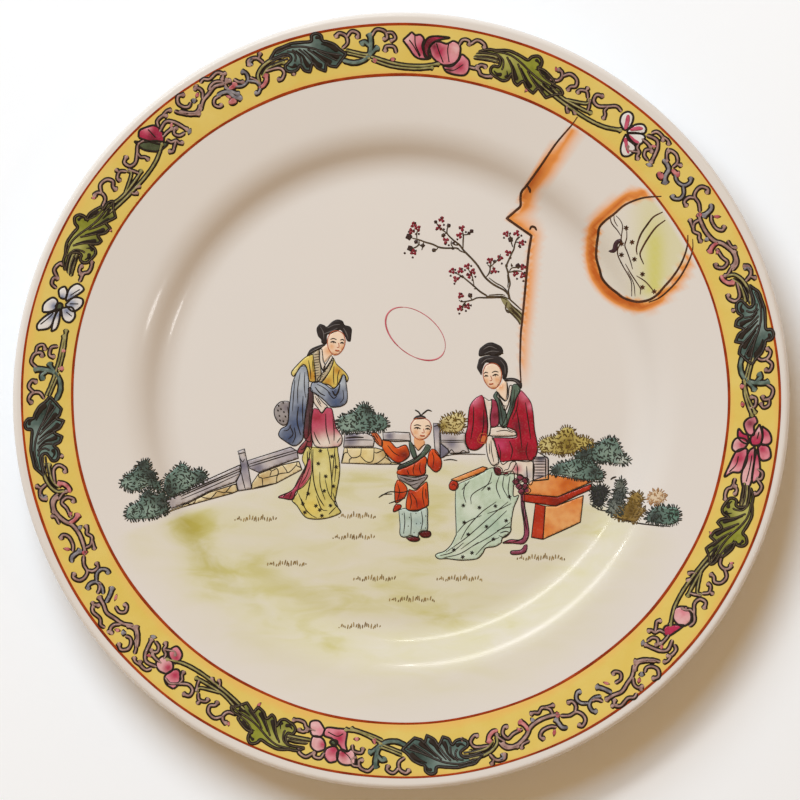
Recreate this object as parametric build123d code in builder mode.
"""Hand painted porcelain dinner plate, lying face up on its foot ring.

The plate is one fired body of revolution under a clear glaze.  Only the foot ring's
underside is left bare.  The painting is overglaze enamel: each coat is a thin layer of
coloured glass fused on top of the glaze, so each coat is its own thin solid here.
Frame: +Z up, origin at the centre of the circle that the foot ring stands on, and +Y
towards the top of the painted scene.
"""

from math import cos, radians, sin, tan
import os

from build123d import *

# Driving dimensions, millimetres and degrees
PLATE_RADIUS = 130.0  # over the glaze
FOOT_OUTER = 75.4  # bottom edge of the foot ring, outside
FOOT_INNER = 70.6  # bottom edge of the foot ring, inside
FOOT_DRAFT = 0.9  # each side of the foot ring leans in by this much
FOOT_HEIGHT = 4.0
RECESS_DEPTH = 3.6  # under the floor, inside the foot ring
FLOOR_TOP = 7.6  # top of the bare body in the well
WELL_CORNER = 79.6  # where the floor and the wall would meet if they were not rounded
SHOULDER_CORNER = 89.2  # where the wall and the rim would meet if they were not rounded
WALL_SLOPE = 38.0
RIM_SLOPE = 9.0
WELL_ROUND = 15.0
SHOULDER_ROUND = 20.0
RIM_THICKNESS = 3.3  # at the lip
WALL_THICKNESS = 3.7
LIP_ROUND = 1.4
GLAZE = 0.2
BARE_FOOT = 0.5  # the glaze stops this far above the foot ring's underside
ENAMEL = 0.12  # thickness of one coat of enamel
LINE_WIDTH = 0.7
OUTER_LINE_RADIUS = 126.4
INNER_LINE_RADIUS = 109.2

body_radius = PLATE_RADIUS - GLAZE
shoulder_top = FLOOR_TOP + (SHOULDER_CORNER - WELL_CORNER) * tan(radians(WALL_SLOPE))
lip_top = shoulder_top + (body_radius - SHOULDER_CORNER) * tan(radians(RIM_SLOPE))
highest = lip_top + 5.0
enamel_base = GLAZE  # enamel starts at the top of the glaze
second_base = GLAZE + ENAMEL  # a motif on the yellow band starts on top of the band

os.makedirs("parts", exist_ok=True)


def write(piece, label):
    piece.part.label = label
    export_step(piece.part, f"parts/{label}.step")


# ---------------------------------------------------------------- body and glaze
def half_section(growth=0.0):
    """The closed half section of the body, drawn from the axis out, grown by a coat on all sides."""
    under_shoulder = (SHOULDER_CORNER + 2.0, shoulder_top - WALL_THICKNESS)
    under_wall = (FOOT_OUTER + 4.2, FOOT_HEIGHT + 0.5)
    with BuildSketch(Plane.XZ) as section:
        with BuildLine():
            outline = FilletPolyline(
                [
                    (0, FLOOR_TOP),
                    (WELL_CORNER, FLOOR_TOP),
                    (SHOULDER_CORNER, shoulder_top),
                    (body_radius, lip_top),
                    (body_radius, lip_top - RIM_THICKNESS),
                    under_shoulder,
                    under_wall,
                    (FOOT_OUTER + FOOT_DRAFT, FOOT_HEIGHT - 0.4),
                    (FOOT_OUTER, 0),
                    (FOOT_INNER, 0),
                    (FOOT_INNER - FOOT_DRAFT, RECESS_DEPTH),
                    (0, RECESS_DEPTH),
                ],
                radius=[
                    WELL_ROUND,
                    SHOULDER_ROUND,
                    LIP_ROUND,
                    LIP_ROUND,
                    SHOULDER_ROUND,
                    3.0,
                    1.2,
                    0.8,
                    0.8,
                    1.0,
                ],
            )
            Line(outline @ 1, outline @ 0)
        make_face()
        if growth > 0:
            offset(amount=growth, kind=Kind.ARC, mode=Mode.REPLACE)
    return section


body_section = half_section()

with BuildPart() as porcelain_body:
    add(body_section.sketch)
    revolve(axis=Axis.Z)


def coat_section(inner, outer, low, high, near, far):
    """Half section of a coat that lies from inner to outer above the bare body.

    It is cut to the box from radius near to radius far and from height low to height high.
    """
    with BuildSketch(Plane.XZ) as section:
        add(half_section(outer).sketch_local)
        add(half_section(inner).sketch_local, mode=Mode.SUBTRACT)
        with Locations(((near + far) / 2, (low + high) / 2)):
            Rectangle(far - near, high - low, mode=Mode.INTERSECT)
    return section


glaze_section = coat_section(0, GLAZE, BARE_FOOT, highest, 0, PLATE_RADIUS + 1)
with BuildPart() as clear_glaze:
    add(glaze_section.sketch)
    revolve(axis=Axis.Z)


# ---------------------------------------------------------------- painted border
def ring_coat(near, far, base=enamel_base):
    """A ring of enamel on the upper face of the rim, from radius near to radius far."""
    low = shoulder_top + (near - SHOULDER_CORNER) * tan(radians(RIM_SLOPE)) - 0.5
    section = coat_section(base, base + ENAMEL, low, highest, near, far)
    with BuildPart() as ring:
        add(section.sketch)
        revolve(axis=Axis.Z)
    return ring


half_line = LINE_WIDTH / 2
inner_red_line = ring_coat(INNER_LINE_RADIUS - half_line, INNER_LINE_RADIUS + half_line)
outer_red_line = ring_coat(OUTER_LINE_RADIUS - half_line, OUTER_LINE_RADIUS + half_line)
yellow_band = ring_coat(INNER_LINE_RADIUS + half_line, OUTER_LINE_RADIUS - half_line)

# Motifs stand on the yellow band.  Angles run clockwise from the top of the plate.
BAND_MIDDLE = (INNER_LINE_RADIUS + OUTER_LINE_RADIUS) / 2
LEAF_ANGLES = [18, 77, 109, 174, 201, 263, 298, 343]
FLOWER_ANGLES = [7, 41, 98, 129, 191, 221, 285, 316]
CURL_ANGLES = [29, 50, 58, 66, 87, 119, 139, 147, 156, 164, 183]
CURL_ANGLES += [212, 231, 239, 247, 254, 275, 307, 325, 333, 353]
LEAF_LENGTH = 20.0
LEAF_WIDTH = 8.0
PETAL_RADIUS = 2.6
CURL_RADIUS = 2.4
CURL_WIDTH = 0.9

band_top_coat = ring_coat(INNER_LINE_RADIUS + 1.5, OUTER_LINE_RADIUS - 1.0, second_base)


def band_plane(angle):
    """A level plane on the band: its local X points clockwise and its local Y outwards."""
    a = radians(angle)
    return Plane(
        origin=(BAND_MIDDLE * sin(a), BAND_MIDDLE * cos(a), 0),
        x_dir=(cos(a), -sin(a), 0),
        z_dir=(0, 0, 1),
    )


def motif(angles, shape):
    """The same motif cut out of the upper coat at each angle."""
    with BuildPart() as group:
        for angle in angles:
            with BuildSketch(band_plane(angle)):
                add(shape.sketch_local)
            extrude(amount=highest)
        add(band_top_coat.part, mode=Mode.INTERSECT)
    return group


with BuildSketch() as leaf:
    half_leaf = LEAF_LENGTH / 2
    with BuildLine():
        ThreePointArc((-half_leaf, 0), (0, LEAF_WIDTH / 2), (half_leaf, 0))
        ThreePointArc((half_leaf, 0), (0, -LEAF_WIDTH / 2), (-half_leaf, 0))
    make_face()

with BuildSketch() as flower:
    Circle(PETAL_RADIUS)
    with PolarLocations(PETAL_RADIUS, 5):
        Circle(PETAL_RADIUS)

with BuildSketch() as curl:
    with Locations((CURL_RADIUS, 0)):
        SlotArc(CenterArc((0, 0), CURL_RADIUS, 20, 280), CURL_WIDTH)

border_leaves = motif(LEAF_ANGLES, leaf)
border_flowers = motif(FLOWER_ANGLES, flower)
border_scrolls = motif(CURL_ANGLES, curl)

# ---------------------------------------------------------------- painted scene
# Each outline is a closed ring of points on the plate's face, seen from above.
scene_outlines = {
    "standing_lady": [
        (-29, 25), (-22, 31), (-16, 28), (-15, 22), (-19, 18), (-14, 12), (-14, -1),
        (-16, -20), (-17, -37), (-27, -40), (-37, -33), (-35, -22), (-39, -9),
        (-41, 2), (-36, 14), (-31, 18),
    ],
    "child": [
        (1, -6), (3, 0), (11, 1), (14, -7), (15, -17), (11, -24), (10, -45), (2, -46),
        (-1, -38), (-2, -26), (-2, -17), (-8, -13), (-8, -10),
    ],
    "seated_lady": [
        (27, 17), (33, 19), (37, 12), (38, 3), (43, -6), (46, -20), (42, -32), (40, -49),
        (32, -52), (15, -54), (13, -51), (22, -40), (22, -27), (25, -17), (22, -10), (24, -1),
        (30, 5),
    ],
    "lattice_box": [(46.6, -19.5), (50.5, -20), (50.5, -26.8), (46.2, -27)],
    "bench": [
        (46.5, -29), (52, -27), (64, -30), (63.5, -32), (62, -41), (49, -45.5), (45, -44),
    ],
    "plum_tree": [
        (3, 60), (14, 60), (24, 50), (30, 38), (37, 30), (38, 24), (30, 28), (12, 30),
        (8, 40), (20, 44),
    ],
    "garden_wall": [
        (-77, -36), (-57, -24), (-44, -16), (-42.5, -20), (-60, -30),
    ],
    "left_shrubs": [(-93, -25), (-85, -21), (-72, -29), (-80, -38), (-90, -39)],
    "right_shrubs": [(66, -21), (72, -18), (84, -30), (94, -34), (90, -42), (68, -36)],
    "wall_edge": [
        (57, 92), (60, 93), (44, 65), (46, 57), (43, 52), (43, 10), (40.5, 10), (42, 55),
        (37, 64), (41, 66), (42, 70),
    ],
    "moon_window": [
        (66, 55), (72, 67), (82, 70), (92, 66), (97, 54), (94, 40), (83, 34), (71, 40),
    ],
    "oval_mark": [(-4, 30), (0, 31), (12, 23), (14, 16), (10, 14), (-1, 20)],
}

scene_section = coat_section(
    enamel_base, enamel_base + ENAMEL, FLOOR_TOP - 1.0, highest, 0, INNER_LINE_RADIUS - 1.0
)
with BuildPart() as scene_skin:
    with BuildSketch(Plane.XZ):
        add(scene_section.sketch_local)
        with BuildLine():
            Polyline(
                (0, FLOOR_TOP - 2),
                (WELL_CORNER - 4, FLOOR_TOP - 2),
                (SHOULDER_CORNER + 3, shoulder_top - 1.2),
                (PLATE_RADIUS, lip_top - 1.5),
                (PLATE_RADIUS, highest),
                (0, highest),
                close=True,
            )
        make_face(mode=Mode.INTERSECT)
    revolve(axis=Axis.Z)

scene_coats = {}
for label, points in scene_outlines.items():
    with BuildPart() as coat:
        with BuildSketch():
            with BuildLine():
                Polyline(*points, close=True)
            make_face()
        extrude(amount=highest)
        add(scene_skin.part, mode=Mode.INTERSECT)
    scene_coats[label] = coat

write(porcelain_body, "porcelain_body")
write(clear_glaze, "clear_glaze")
write(yellow_band, "yellow_band")
write(inner_red_line, "inner_red_line")
write(outer_red_line, "outer_red_line")
write(border_leaves, "border_leaves")
write(border_flowers, "border_flowers")
write(border_scrolls, "border_scrolls")
for label, coat in scene_coats.items():
    write(coat, label)

print("body volume, mm3:", round(porcelain_body.part.volume))
print("height over the glaze, mm:", round(clear_glaze.part.bounding_box().max.Z, 2))
